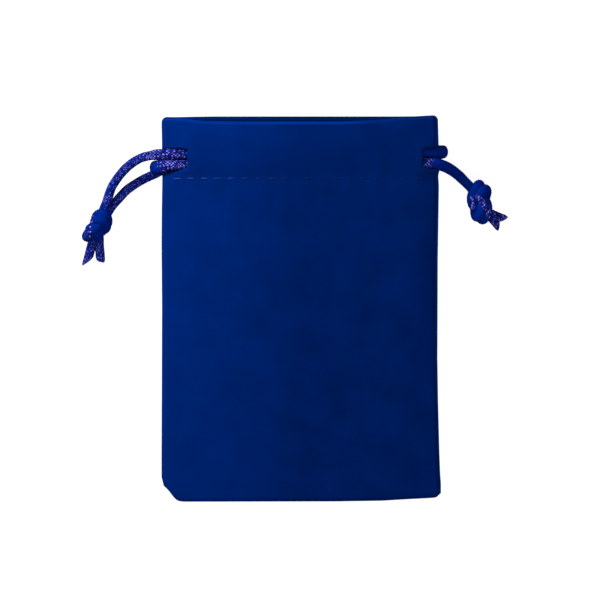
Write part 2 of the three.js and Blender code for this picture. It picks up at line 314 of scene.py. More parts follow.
def cloth_rows():
    """Rows along the cloth: up the outer layer, round the rim, and down the hem."""
    ends = BOTTOM + BOTTOM_ROUND * (1 - np.cos(np.radians([0, 12, 25, 40, 57, 75])))
    ys = list(ends) + steps(BOTTOM + BOTTOM_ROUND, SLIT_LOW, GRID)
    ys += steps(SLIT_LOW, SLIT_HIGH, FINE_GRID) + steps(SLIT_HIGH, RIM_Y, FINE_GRID) + [RIM_Y]
    turns = list(np.radians(np.linspace(18, 162, 9)))
    down = list(np.linspace(RIM_Y, HEM_END_Y, 26))
    y = np.array(ys + [RIM_Y] * len(turns) + down)
    turn = np.array([0.0] * len(ys) + turns + [math.pi] * len(down))
    return y, turn


def panel_points(side):
    """The outer and the inner face of one panel, each rows by columns by 3."""
    xs, angles = cloth_columns()
    ys, turns = cloth_rows()
    x, y = np.meshgrid(xs, ys)
    angle, turn = np.meshgrid(angles, turns)
    faces = []
    for depth, hem_depth, rim_round in (
        (0.0, EDGE_LAYERS + HEM, RIM_ROUND), (CLOTH, EDGE_LAYERS, HEM_RIM_ROUND)
    ):
        outer = face_point(x, angle, y, side, depth)
        hem = face_point(x, angle, y, side, hem_depth, hem=True)
        point = mix(outer, hem, ((1 - np.cos(turn)) / 2)[..., None])
        point[..., 1] += rim_round * np.sin(turn)
        dip = RIM_DIP if side > 0 else BACK_RIM_DIP
        point[..., 1] -= dip(point[..., 0]) * smooth(28, RIM_Y, y)
        faces.append(point)
    return faces


def boundary(quads):
    """The directed edges that only one of the faces has."""
    edges = np.concatenate([quads[:, [k, (k + 1) % 4]] for k in range(4)])
    size = quads.max() + 1
    code = edges[:, 0] * size + edges[:, 1]
    back = edges[:, 1] * size + edges[:, 0]
    return edges[~np.isin(code, back)]


def vertex_normals(points, quads):
    """Each point's normal, from its faces' normals weighted by their areas."""
    across = np.cross(
        points[quads[:, 2]] - points[quads[:, 0]], points[quads[:, 3]] - points[quads[:, 1]]
    )
    total = np.zeros_like(points)
    for k in range(4):
        np.add.at(total, quads[:, k], across)
    return total / np.maximum(np.linalg.norm(total, axis=1, keepdims=True), 1e-12)


def walled(quads, count):
    """A closed sheet: its outer faces, its inner ones and the walls along its edges."""
    edges = boundary(quads)
    walls = np.stack([edges[:, 1], edges[:, 0], edges[:, 0] + count, edges[:, 1] + count], 1)
    return np.concatenate([quads, quads[:, ::-1] + count, walls]), len(walls)


def distances_along(path):
    """How far along the path each of its points is."""
    return np.concatenate([[0], np.cumsum(np.linalg.norm(np.diff(path, axis=0), axis=1))])


def panel_quads(rows, cols, side):
    """The grid's faces, rows by columns by 4, facing outwards."""
    index = np.arange(rows * cols).reshape(rows, cols)
    a, b = index[:-1, :-1], index[:-1, 1:]
    c, d = index[1:, 1:], index[1:, :-1]
    return np.stack([a, b, c, d] if side > 0 else [a, d, c, b], -1)


def outside_slots(xs, ys, turns):
    """Which of the grid's faces are cloth, not the cords' slots."""
    rows = (turns[1:] == 0) & (ys[:-1] > SLIT_LOW - 0.01) & (ys[:-1] < SLIT_HIGH - 0.01)
    middles = (xs[:-1] + xs[1:]) / 2
    left = np.abs(middles + LEFT_SLIT + SLOT / 2) < 0.01
    right = np.abs(middles - RIGHT_SLIT - SLOT / 2) < 0.01
    return ~np.outer(rows, left | right)


def panel_uv(outer):
    """Distances across and along the cloth in millimetres, the inner face's well away."""
    rows, cols = outer.shape[:2]
    along = distances_along(outer[:, cols // 2])
    across = distances_along(outer[rows // 2])
    uv = np.stack(np.meshgrid(across, along), -1).reshape(-1, 2)
    return np.concatenate([uv, uv + 200.0])


def rim_painted_light(xs, turns):
    """Masks for painted light on the rim: painted shade where the velvet is turned in, and a
    painted highlight over the rim's fold.
    """
    turned_in_shade = np.repeat(smooth(math.pi * 0.8, math.pi, turns), len(xs))
    crest_highlight = smooth(0, 0.2, turns) * (1 - smooth(0.35 * math.pi, 0.6 * math.pi, turns))
    towards_middle = mix(1.0, 0.4, smooth(6.0, 18.0, np.abs(xs)))
    crest_highlight = np.outer(crest_highlight, towards_middle).ravel()
    return {"turned_in_shade": np.tile(turned_in_shade, 2), "crest_highlight": np.tile(crest_highlight, 2)}


def panel_halves(side):
    """The left and right half of a panel: points, faces, corner normals, uv and values."""
    outer, inner = panel_points(side)
    rows, cols = outer.shape[:2]
    count = rows * cols
    quads = panel_quads(rows, cols, side)
    xs, _ = cloth_columns()
    ys, turns = cloth_rows()
    kept = outside_slots(xs, ys, turns)
    points = np.concatenate([outer.reshape(-1, 3), inner.reshape(-1, 3)])
    whole, _ = walled(quads[kept], count)
    normals = vertex_normals(points, whole)
    uv = panel_uv(outer)
    values = rim_painted_light(xs, turns)
    middle = np.searchsorted(xs, -1e-6)
    halves = []
    for part in (slice(0, middle), slice(middle, cols - 1)):
        chosen = np.zeros_like(kept)
        chosen[:, part] = True
        faces, walls = walled(quads[kept & chosen], count)
        corner = normals[faces]
        cut = np.zeros(len(faces), bool)
        cut[-walls:] = np.all(np.abs(points[faces[-walls:], 0]) < 1e-6, axis=1)
        corner[cut] = np.array([1.0 if part.start == 0 else -1.0, 0, 0])
        halves.append((points, [faces], corner, uv, values))
    return halves


# ---- making meshes ----
def placed(name, data):
    obj = bpy.data.objects.new(name, data)
    bpy.context.scene.collection.objects.link(obj)
    return obj


def make_mesh(name, points, faces, corner_normals=None, uv=None, values=None):
    """A smooth mesh from points in millimetres and a list of arrays of faces."""
    loops = np.concatenate([f.ravel() for f in faces])
    used = np.unique(loops)
    place = np.zeros(len(points), int)
    place[used] = np.arange(len(used))
    mesh = bpy.data.meshes.new(name)
    mesh.vertices.add(len(used))
    mesh.vertices.foreach_set("co", (points[used] * MM).ravel())
    sizes = np.concatenate([np.full(len(f), f.shape[1]) for f in faces])
    mesh.loops.add(len(loops))
    mesh.loops.foreach_set("vertex_index", place[loops])
    mesh.polygons.add(len(sizes))
    mesh.polygons.foreach_set("loop_start", np.concatenate([[0], np.cumsum(sizes)[:-1]]))
    mesh.update(calc_edges=True)
    mesh.shade_smooth()
    if uv is not None:
        layer = mesh.uv_layers.new(name="cloth")
        layer.data.foreach_set("uv", uv[loops].ravel())
    for key, value in (values or {}).items():
        attribute = mesh.attributes.new(key, "FLOAT", "POINT")
        attribute.data.foreach_set("value", value[used].astype(np.float32))
    if corner_normals is not None:
        mesh.normals_split_custom_set(corner_normals.reshape(-1, 3).tolist())
    return placed(name, mesh)


def length_of(path):
    return np.linalg.norm(np.diff(path, axis=0), axis=1).sum()


def distances_from(path, place):
    return np.linalg.norm(path - place, axis=1)


def resample(path, count):
    """The path as that many evenly spaced points."""
    length = distances_along(path)
    spots = np.linspace(0, length[-1], count)
    return np.stack([np.interp(spots, length, path[:, k]) for k in range(3)], 1)


def curve_through(points, per_span=24):
    """A Catmull-Rom curve through the points."""
    p = np.array(points, float)
    p = np.concatenate([[2 * p[0] - p[1]], p, [2 * p[-1] - p[-2]]])
    t = np.linspace(0, 1, per_span, endpoint=False)[:, None]
    spans = []
    for a, b, c, d in zip(p[:-3], p[1:-2], p[2:-1], p[3:]):
        spans.append(
            0.5 * (2 * b + (c - a) * t + (2 * a - 5 * b + 4 * c - d) * t**2
                   + (3 * b - a - 3 * c + d) * t**3)
        )
    return np.concatenate(spans + [p[-2:-1]])


def frames_along(path):
    """Tangents, and normals that turn as little as they can."""
    tangent = np.gradient(path, axis=0)
    tangent /= np.linalg.norm(tangent, axis=1, keepdims=True)
    normal = np.zeros_like(path)
    start = np.array([0.0, 0.0, 1.0])
    for i, t in enumerate(tangent):
        start = start - (start @ t) * t
        start /= np.linalg.norm(start)
        normal[i] = start
    return tangent, normal, np.cross(tangent, normal)


def round_tube(path, sides):
    """The path's tangents, the angles round a tube, and the directions outwards at those."""
    tangent, normal, across = frames_along(path)
    theta = np.linspace(0, 2 * np.pi, sides, endpoint=False)
    cos, sin = np.cos(theta)[None, :, None], np.sin(theta)[None, :, None]
    return tangent, theta, normal[:, None] * cos + across[:, None] * sin


def tube_faces(rings, sides):
    """A tube's faces: quads along it, and triangles that close its ends."""
    index = np.arange(rings * sides).reshape(rings, sides)
    a, b = index[:-1], np.roll(index, -1, 1)[:-1]
    c, d = np.roll(index, -1, 1)[1:], index[1:]
    quads = np.stack([a, b, c, d], -1).reshape(-1, 4)
    first, last = rings * sides, rings * sides + 1
    low = np.stack([np.full(sides, first), np.roll(index[0], -1), index[0]], 1)
    high = np.stack([np.full(sides, last), index[-1], np.roll(index[-1], -1)], 1)
    return quads, np.concatenate([low, high])


# ---- the knots ----
KNOT_POINTS = 72  # on each of the two strands
KNOT_ROUNDS = 1500
LINK_PASSES = 3  # times the lengths are put right in a round
TIGHT_BY = 0.75  # share of the rounds after which the strands are shortest
ON_TABLE_AFTER = 0.6  # share of the tightening after which the knot lies on the table
STRAND_APART = 1.3  # distance of strands that press on each other
NEIGHBOURS = 5  # points of one strand this close in order don't press on each other
LINK_GIVE = 0.45
BEND_GIVE = 0.25
PRESS_GIVE = 0.4
ENDS_HELD = 16  # points at each end of a strand over which the knot's stretching fades out


def loose_overhand(count):
    """A loose overhand knot along the Y axis, mouth end last."""
    t = np.linspace(-2.02, 2.02, 400)
    x, y, z = t**3 - 3 * t, t**4 - 4 * t**2, t**5 - 10 * t
    return resample(np.stack([3.2 * x, 1.15 * z, 2.4 * (y + 1.5)], 1), count)


def turned_to(axis, roll):
    """Rotation that takes +Y to the axis, after a roll about +Y."""
    y = np.array(axis, float) / np.linalg.norm(axis)
    x = np.cross(y, [0, 0, 1.0])
    x /= np.linalg.norm(x)
    basis = np.stack([x, y, np.cross(x, y)], 1)
    c, s = math.cos(roll), math.sin(roll)
    return basis @ np.array([[c, 0, s], [0, 1, 0], [-s, 0, c]])


def loose_strands(knot):
    """Two strands in a loose overhand knot, the one for the first top first."""
    base = loose_overhand(KNOT_POINTS)
    base[:, 0] *= knot["hand"]
    _, normal, across = frames_along(base)
    twist = np.linspace(0, math.pi * knot["hand"], KNOT_POINTS)[:, None]
    offset = 0.95 * (normal * np.cos(twist) + across * np.sin(twist))
    turn = turned_to(knot["axis"], math.radians(knot["roll"]))
    strands = [(base + s * offset) @ turn.T + knot["at"] for s in (1, -1)]
    return sorted(strands, key=lambda strand: np.linalg.norm(strand[-1] - knot["tops"][0]))


def pull_links(points, links, rest):
    """Moves linked points towards their rest distance, every second link at a time."""
    for odd in (0, 1):
        link = links[odd::2]
        gap = points[link[:, 1]] - points[link[:, 0]]
        size = np.linalg.norm(gap, axis=1, keepdims=True)
        move = LINK_GIVE * gap * (1 - rest[link[:, 0] // KNOT_POINTS][:, None] / size)
        points[link[:, 0]] += move
        points[link[:, 1]] -= move


def press_apart(points, one, two):
    """Moves apart the points that are closer than two pressed strands can be."""
    gap = points[two] - points[one]
    size = np.sqrt((gap**2).sum(1))
    hit = size < STRAND_APART
    if not hit.any():
        return
    push = gap[hit] / size[hit, None] * ((STRAND_APART - size[hit]) * PRESS_GIVE)[:, None]
    total = np.zeros_like(points)
    hits = np.zeros(len(points))
    np.add.at(total, one[hit], -push)
    np.add.at(total, two[hit], push)
    np.add.at(hits, one[hit], 1)
    np.add.at(hits, two[hit], 1)
    points += total / np.sqrt(np.maximum(1, hits))[:, None]


def tighten(knot):
    """Two strands tied in an overhand knot and pulled tight, from tips to tops."""
    n = KNOT_POINTS
    ends = np.stack([knot["tips"], knot["tops"]], 1).reshape(-1, 3).astype(float)
    strands = loose_strands(knot)
    points = np.concatenate(strands)
    fixed = np.array([0, n - 1, n, 2 * n - 1])
    loose_ends = points[fixed].copy()
    order = np.arange(2 * n)
    strand = order // n
    links = np.stack([order[:-1], order[1:]], 1)[strand[:-1] == strand[1:]]
    inner = np.setdiff1d(order, fixed)
    loose = [length_of(s) for s in strands]
    tight = [np.linalg.norm(ends[2 * k + 1] - ends[2 * k]) + knot["slack"] for k in (0, 1)]
    one, two = np.triu_indices(2 * n, 1)
    far = (strand[one] != strand[two]) | (two - one > NEIGHBOURS)
    one, two = one[far], two[far]
    for step in range(KNOT_ROUNDS):
        u = min(1.0, step / (KNOT_ROUNDS * TIGHT_BY))
        rest = np.array([mix(loose[k], tight[k], u) / (n - 1) for k in (0, 1)])
        held = mix(loose_ends, ends, u)
        for _ in range(LINK_PASSES):
            pull_links(points, links, rest)
            points[fixed] = held
        halfway = (points[inner - 1] + points[inner + 1]) / 2
        points[inner] += BEND_GIVE * (halfway - points[inner])
        press_apart(points, one, two)
        if u > ON_TABLE_AFTER:
            points[:, 2] = np.maximum(points[:, 2], CORD / 2)
        points[fixed] = held
    return stretched(points[:n], knot), stretched(points[n:], knot)


def stretched(points, knot):
    """The strands pulled longer along the knot and pressed narrower across it."""
    along = np.array([*knot["long"], 0.0]) / np.linalg.norm(knot["long"])
    across = np.array([-along[1], along[0], 0.0])
    longer, narrower = knot["stretch"]
    offset = points - knot["at"]
    order = np.arange(len(points))
    share = (smooth(0, ENDS_HELD, order) * smooth(0, ENDS_HELD, order[::-1]))[:, None]
    move = (longer - 1) * (offset @ along)[:, None] * along
    move += (narrower - 1) * (offset @ across)[:, None] * across + knot["shift"]
    return points + share * move


# ---- the cords ----
# Each route runs from the front strand's top over the front, round the far side and back below.
LEFT_ROUTE = [
    (-34.4, 22.2, 2.5), (-32.9, 24.3, 3.1), (-31.2, 26, 4.3), (-29, 27.3, 6.1),
    (-26.9, 27.75, 7.9), (-24.8, 27.9, 9.1), (-22.5, 27.9, 9.55), (-20, 27.9, 9.6),
    (-8, 27.95, 9.6), (8, 28.1, 9.6), (20, 28.3, 9.6), (22.4, 28.35, 9.58),
    (24.15, 28.4, 9.35), (25.6, 28.45, 8.1), (26.1, 28.45, 6.1), (25.58, 28.4, 3.75),
    (24.15, 28.35, 2.32), (22.2, 28.3, 1.85), (20, 28.25, 1.8), (8, 28.1, 1.8),
    (-8, 27.95, 1.8), (-18.6, 27.9, 1.8), (-20.3, 27.85, 1.72), (-21.5, 27.6, 1.4),
    (-22.5, 27.15, 1.07), (-23.5, 26.45, 0.92), (-24.6, 25.75, 0.92), (-25.8, 25.05, 0.92),
    (-26.9, 24.5, 0.92), (-29.2, 23.4, 0.92), (-31.8, 21.7, 0.92),
]
RIGHT_ROUTE = [
    (29.2, 24.1, 4.4), (28, 25, 5.9), (26.7, 25.75, 7.6), (24.9, 26.25, 9.05),
    (22.6, 26.3, 9.55), (20, 26.3, 9.6), (8, 26.2, 9.6), (-8, 26.1, 9.6), (-19, 26.05, 9.6),
    (-22.2, 26.0, 9.6), (-24.4, 25.85, 9.2), (-26.0, 25.7, 7.9), (-26.55, 25.6, 6.2),
    (-26.0, 25.5, 4.4), (-24.5, 25.55, 3.1), (-22.5, 25.85, 2.7), (-20.6, 26.0, 2.3),
    (-18.4, 26.05, 1.8), (-8, 26.1, 1.8), (8, 26.2, 1.8), (20, 26.3, 1.8),
    (22.4, 26.3, 1.76), (24.2, 26.28, 1.4), (25.6, 26.1, 1.05), (26.8, 25.7, 0.92),
    (28, 25, 0.92), (29.2, 24.1, 0.92),
]
# exit: where the front strand leaves its slit.
# knot: its middle, its axis and roll about that in degrees, its hand, the cord wound into it, how
#   it is stretched along and across "long", and shifted, and where its strands come in and go out.
# cuts: how steeply the left and the right end are cut, and towards which side.
# widths: (place, width, reach) where the cord is pressed wide.
# painted glint: how much painted highlight the braid gets everywhere, as sparks on a darker violet
# body, then (place, more, reach).
# glints: (start, end, reach) of lines on the knot that catch the light.
CORDS = {
    "left": {
        "route": LEFT_ROUTE,
        "exit": (-20.3, 27.9, 9.6),
        "knot": {
            "at": (-36.8, 15.4, 2.9), "axis": (0.3, 0.95, 0), "roll": 185, "hand": -1,
            "slack": 13.0, "long": (0.3, 0.95), "stretch": (1.12, 0.8),
            "shift": (-0.25, -0.4, 0),
            "tops": [(-34.4, 22.2, 2.5), (-31.8, 21.7, 0.92)],
            "tips": [(-38.9, 8.6, 0.92), (-36.5, 8.8, 0.92)],
        },
        "cuts": [(1.2, (-1, 0, 0)), (0.3, (1, 0, 0))],
        "widths": [((-24.5, 27.9, 9.2), 1.12, 3.0), ((26.1, 28.4, 5.7), 1.28, 6.0)],
        "painted_glint": (0.45, [((-24.5, 27.9, 9.2), 0.5, 5.0), ((26.1, 28.4, 5.7), -0.45, 9.0),
                         ((-36.8, 15.4, 2.9), -0.45, 4.2), ((-37.7, 8.7, 0.9), 0.1, 4.0)]),
        "glints": [((-37.7, 17.0), (-38.2, 14.9), 0.32), ((-38.2, 14.9), (-38.2, 12.7), 0.32)],
    },
    "right": {
        "route": RIGHT_ROUTE,
        "exit": (22.1, 26.3, 9.6),
        "knot": {
            "at": (33.0, 19.0, 2.9), "axis": (-0.5, 0.86, 0), "roll": 180, "hand": -1,
            "slack": 15.0, "long": (0.05, 1.0), "stretch": (1.28, 0.9),
            "shift": (0, 0.1, 0),
            "tops": [(29.2, 24.1, 4.4), (29.2, 24.1, 0.92)],
            "tips": [(37.1, 16.4, 1.8), (36.3, 15.2, 0.92)],
        },
        "cuts": [(0.8, (-0.57, -0.82, 0)), (0.8, (0.57, 0.82, 0))],
        "widths": [((22.6, 26.3, 9.5), 1.18, 3.5), ((-26.5, 25.7, 6.2), 1.3, 6.0)],
        "painted_glint": (0.0, [((-21.5, 25.9, 9.6), 1.0, 4.6), ((22.6, 26.3, 9.5), 0.6, 1.7),
                        ((36.7, 15.8, 1.8), 1.0, 3.4)]),
        "glints": [((31.1, 20.0), (31.3, 18.4), 0.5), ((32.3, 20.5), (34.6, 16.8), 0.65)],
    },
}


def cord_path(spec):
    """The whole cord from one cut end to the other, and how far into a knot each point is."""
    one, two = tighten(spec["knot"])
    raw = np.concatenate([one[:-1], curve_through(spec["route"]), two[::-1][1:]])
    path = resample(raw, int(length_of(raw) / RING_STEP))
    for _ in range(PATH_SMOOTHINGS):
        path[1:-1] += 0.5 * ((path[:-2] + path[2:]) / 2 - path[1:-1])
    path[:, 2] = np.maximum(path[:, 2], CORD / 2)
    path = resample(path, len(path))
    return path, 1 - smooth(2.6, 4.2, distances_from(path, spec["knot"]["at"]))


def braid(along, round_it):
    """Height of the braid from 0 to 1, and its two coordinates."""
    a = BRAID_CELLS * round_it / (2 * np.pi) + along / BRAID_PITCH
    b = BRAID_CELLS * round_it / (2 * np.pi) - along / BRAID_PITCH
    in_a, in_b = a - np.floor(a), b - np.floor(b)
    over = (np.floor(a) + np.floor(b)) % 2 < 1
    width = np.where(over, in_a, in_b)
    run = np.where(over, in_b, in_a)
    dome = np.sqrt(np.clip(1 - (2 * width - 1) ** 2, 0, 1))
    arch = 1 - (2 * run - 1) ** 2
    return dome * (0.45 + 0.55 * arch), a, b


def painted_glint_along(path, spec):
    """How much painted highlight the braid gets: sparks on a darker violet body."""
    painted_glint, places = spec
    painted_glint = np.full(len(path), painted_glint)
    for place, more, reach in places:
        painted_glint += more * (1 - smooth(0.5 * reach, reach, distances_from(path, place)))
    return np.clip(painted_glint, 0, 1)


def glints_on(points, lines):
    """1 near the lines on which the turned braid catches the light."""
    glint = np.zeros(points.shape[:-1])
    for start, end, reach in lines:
        along = np.subtract(end, start)
        offset = points[..., :2] - start
        share = np.clip(offset @ along / (along @ along), 0, 1)[..., None]
        distance = np.linalg.norm(offset - share * along, axis=-1)
        glint = np.maximum(glint, 1 - smooth(0.5 * reach, reach, distance))
    return glint


def widths_along(path, tightness, places):
    """How much wider than round the cord lies at each point."""
    wide = mix(SLACK_WIDTH, 1.0, tightness)
    for place, width, reach in places:
        share = 1 - smooth(0.45 * reach, reach, distances_from(path, place))
        wide = wide + (width - SLACK_WIDTH) * share
    return wide


def pressed(offset, tangent, wide):
    """The cord's rings made wider along Y by a factor, and thinner the other way."""
    wide = wide[:, None, None]
    flat_way = np.array([0, 1.0, 0]) - tangent * tangent[:, 1:2]
    flat_way /= np.linalg.norm(flat_way, axis=1, keepdims=True)
    flat_part = (offset * flat_way[:, None]).sum(-1, keepdims=True) * flat_way[:, None]
    return flat_part * wide + (offset - flat_part) * np.where(wide > 1, wide**-0.5, wide)


def cut_ends(path, tangent, along, offset, cuts):
    """The rings slanted towards the two cut ends, and the ends' middle points."""
    ends = [0, -1] if path[0, 0] < path[-1, 0] else [-1, 0]
    caps = {}
    for end, (slope, longer_side) in zip(ends, cuts):
        outward = tangent[-1] if end else -tangent[0]
        reach = along[::-1] if end else along
        share = (1 - smooth(0, SLANT_REACH, reach))[:, None]
        lean = slope * (offset @ longer_side) * share
        pinch = 1 - 0.12 * (1 - smooth(0, TIP_REACH, reach))[:, None, None]
        offset = offset * pinch + lean[..., None] * outward
        caps[end] = (path[end] + offset[end]).mean(0) - 0.12 * outward
    return offset, [caps[0], caps[-1]]


def cord_mesh(name, spec):
    """One cord as a braided tube, its middle line and that line's length."""
    path, tightness = cord_path(spec)
    rings = len(path)
    tangent, theta, direction = round_tube(path, RING_SIDES)
    along = np.arange(rings) * RING_STEP
    ring, side = np.meshgrid(along, theta, indexing="ij")
    height, a, b = braid(ring, side)
    slub = 0.012 * np.sin(ring * 0.9) + 0.008 * np.sin(ring * 2.3 + 1)
    radius = CORD_RADIUS * (1 + 0.06 * tightness)[:, None] + slub + BRAID_DEPTH * (height - 0.6)
    offset = direction * radius[..., None]
    offset = pressed(offset, tangent, widths_along(path, tightness, spec["widths"]))
    offset, caps = cut_ends(path, tangent, along, offset, spec["cuts"])
    points = path[:, None] + offset
    points[..., 2] = np.maximum(points[..., 2], 0)  # pressed flat where it lies on the table
    every = np.concatenate([points.reshape(-1, 3), caps])
    uv = np.concatenate([np.stack([a, b], -1).reshape(-1, 2), np.zeros((2, 2))])
    facing_up = smooth(-0.5, 0.7, direction[..., 2])
    relief_painted_shade = (height * mix(0.25, 1.0, facing_up)).ravel()  # painted shade: its colour is darker in the braid's crevices, and more so on the cord's underside
    # painted highlights: where sparks are painted, also along the glint lines
    painted_glint = np.maximum(painted_glint_along(path, spec["painted_glint"])[:, None], glints_on(points, spec["glints"]))
    values = {
        "relief_painted_shade": np.concatenate([relief_painted_shade, [0.3, 0.3]]),
        "painted_glint": np.concatenate([painted_glint.ravel(), [0, 0]]),
    }
    obj = make_mesh(name, every, tube_faces(rings, RING_SIDES), uv=uv, values=values)
    return obj, path, length_of(path)


# ---- stitches ----
def thread_mesh(name, paths):
    """Short threads, each a tapered tube of twisted plies along its own path."""
    along = np.linspace(-1, 1, THREAD_RINGS)[:, None]
    q, t = tube_faces(THREAD_RINGS, THREAD_SIDES)
    points, quads, tris = [], [], []
    start = 0
    for path in paths:
        path = resample(np.array(path, float), THREAD_RINGS)
        _, theta, direction = round_tube(path, THREAD_SIDES)
        plies = 1 + 0.12 * np.cos(2 * theta[None] - along * 9)
        radius = STITCH_THICK / 2 * plies * (1 - 0.3 * along**4)
        body = (path[:, None] + direction * radius[..., None]).reshape(-1, 3)
        points.append(np.concatenate([body, path[:1], path[-1:]]))
        quads.append(q + start)
        tris.append(t + start)
        start += len(points[-1])
    return make_mesh(name, np.concatenate(points), [np.concatenate(quads), np.concatenate(tris)])


def lockstitches(place, start, end, rng):
    """Paths of a row of stitches. place gives a point, its outward and its sideways way."""
    paths = []
    middle = start + STITCH_PITCH / 2
    while middle < end:
        half = STITCH_LENGTH / 2 * rng.uniform(0.82, 1.12)
        skew = rng.uniform(-0.05, 0.05)
        path = []
        for t in np.linspace(-1, 1, 9):
            point, out, beside = place(middle + t * half)
            height = STITCH_STANDS - STITCH_DIVES * abs(t) ** 3
            path.append(point + out * height + beside * skew * t)
        paths.append(path)
        middle += STITCH_PITCH * rng.uniform(0.97, 1.03)
    return paths


def on_panel(side, y):
    """Places along a row on the outside of a panel."""
    def place(x):
        spot = face_point(x, math.pi / 2, y, side, 0.0)
        return spot, np.array([0, 0, float(side)]), np.array([0, 1.0, 0])
    return place


def in_seam(x, y, out):
    """A place inside, between the panels."""
    return np.array([x, y, float(middle_z(y))]), np.array(out), np.array([0, 0, 1.0])


def along_side(sign):
    return lambda y: in_seam(sign * SIDE_SEAM_X, y, [-sign * 1.0, 0, 0])


def along_bottom(x):
    return in_seam(x, BOTTOM_SEAM_Y, [0, 1.0, 0])


# ---- materials ----
VELVET_TONES = [
    (0.3, (0.0, 0.0064, 0.056)), (0.85, (0.0, 0.0124, 0.115)), (1.0, (0.0, 0.017, 0.16)),
]
# painted shade: the velvet's colour where it is turned in inside the mouth
VELVET_PAINTED_SHADE = (0.0, 0.0095, 0.083, 1)
VELVET_SHEEN = (0.0, 0.12, 0.85, 1)
MOTTLE_SHARE = 0.45  # how much the broad mottling and the nap count in the velvet's tone
NAP_SHARE = 0.45
PAINTED_LEFT_LIGHT = 0.27  # painted light: the velvet is coloured lighter towards its left edge, where the light comes from
PAINTED_LEFT_LIGHT_SPAN = (12.0, 30.0)  # fading out across this span of the cloth
CREST_PAINTED_HIGHLIGHT = 0.62  # painted highlight: the velvet is coloured lighter over the rim's fold
# tones of the braid from crevices to crowns, with painted shade making the crevices near black; the
# violet tones are the darker body under the painted sparks
MATTE_TONES = [(0.1, (0.0, 0.001, 0.02)), (0.55, (0.0, 0.011, 0.15)), (0.95, (0.0, 0.017, 0.21))]
VIOLET_TONES = [
    (0.1, (0.0, 0.001, 0.02)), (0.55, (0.002, 0.004, 0.07)), (0.95, (0.006, 0.008, 0.14)),
]
# painted highlight: the colour of the sparks
PAINTED_SPARK = (0.23, 0.23, 0.95, 1)
FILAMENTS = 5  # in each strand of the braid
THREAD_DARK = (0.004, 0.014, 0.09)
HEM_THREAD_LIGHT = (0.035, 0.08, 0.33)
SEAM_THREAD_LIGHT = (0.02, 0.05, 0.30)
FLOOR_TONES = [(0.0, (0.14, 0.14, 0.14)), (1.0, (0.16, 0.16, 0.16))]
FLOOR_GLOW = 0.95


def new_material(name):
    material = bpy.data.materials.new(name)
    material.use_nodes = True
    tree = material.node_tree
    return material, tree, tree.nodes["Principled BSDF"]


def feed(tree, socket, value):
    """Links a node's output to the socket, or sets the socket's value."""
    if isinstance(value, bpy.types.NodeSocket):
        tree.links.new(value, socket)
    else:
        socket.default_value = value


def put(tree, made, settings):
    """Feeds a node's inputs and sets its properties, all by name."""
    for key, value in settings.items():
        if key in made.inputs:
            feed(tree, made.inputs[key], value)
        else:
            setattr(made, key, value)
    return made


def node(tree, kind, **settings):
    return put(tree, tree.nodes.new(kind), settings)


def ramp(tree, fac, stops):
    """A colour ramp with (position, colour) stops."""
    made = node(tree, "ShaderNodeValToRGB", Fac=fac)
    elements = made.color_ramp.elements
    while len(elements) < len(stops):
        elements.new(0.5)
    for element, (position, colour) in zip(elements, stops):
        element.position = position
        element.color = (*colour, 1)
    return made.outputs["Color"]


def noise(tree, vector, scale, detail=2.0, roughness=0.5):
    settings = {"Vector": vector, "Scale": scale, "Detail": detail, "Roughness": roughness}
    return node(tree, "ShaderNodeTexNoise", **settings).outputs["Fac"]


def math_node(tree, operation, one, two=0.0):
    made = node(tree, "ShaderNodeMath", operation=operation)
    feed(tree, made.inputs[0], one)
    feed(tree, made.inputs[1], two)
    return made.outputs["Value"]


def plus(tree, one, two):
    return math_node(tree, "ADD", one, two)


def times(tree, one, two):
    return math_node(tree, "MULTIPLY", one, two)


def map_range(tree, value, low, high, to_low=0.0, to_high=1.0, kind="LINEAR"):
    limits = {"From Min": low, "From Max": high, "To Min": to_low, "To Max": to_high}
    made = node(tree, "ShaderNodeMapRange", interpolation_type=kind, Value=value, **limits)
    return made.outputs["Result"]


def value_of(tree, attribute):
    """What the mesh stores under that name."""
    return node(tree, "ShaderNodeAttribute", attribute_name=attribute).outputs["Fac"]


def cloth_uv(tree):
    return node(tree, "ShaderNodeUVMap", uv_map="cloth").outputs["UV"]


def parts(tree, vector):
    return node(tree, "ShaderNodeSeparateXYZ", Vector=vector).outputs


def mixed(tree, kind, factor, one, two):
    """Two numbers (kind FLOAT) or two colours (kind RGBA), mixed."""
    settings = {"Factor": factor, "A": one, "B": two}
    return node(tree, "ShaderNodeMix", data_type=kind, **settings).outputs["Result"]


def bump(tree, heights):
    """Bumps of (height, strength, distance in metres), one on the other."""
    made = None
    for height, strength, distance in heights:
        settings = {"Height": height, "Strength": strength, "Distance": distance}
        if made:
            settings["Normal"] = made.outputs["Normal"]
        made = node(tree, "ShaderNodeBump", **settings)
    return made.outputs["Normal"]


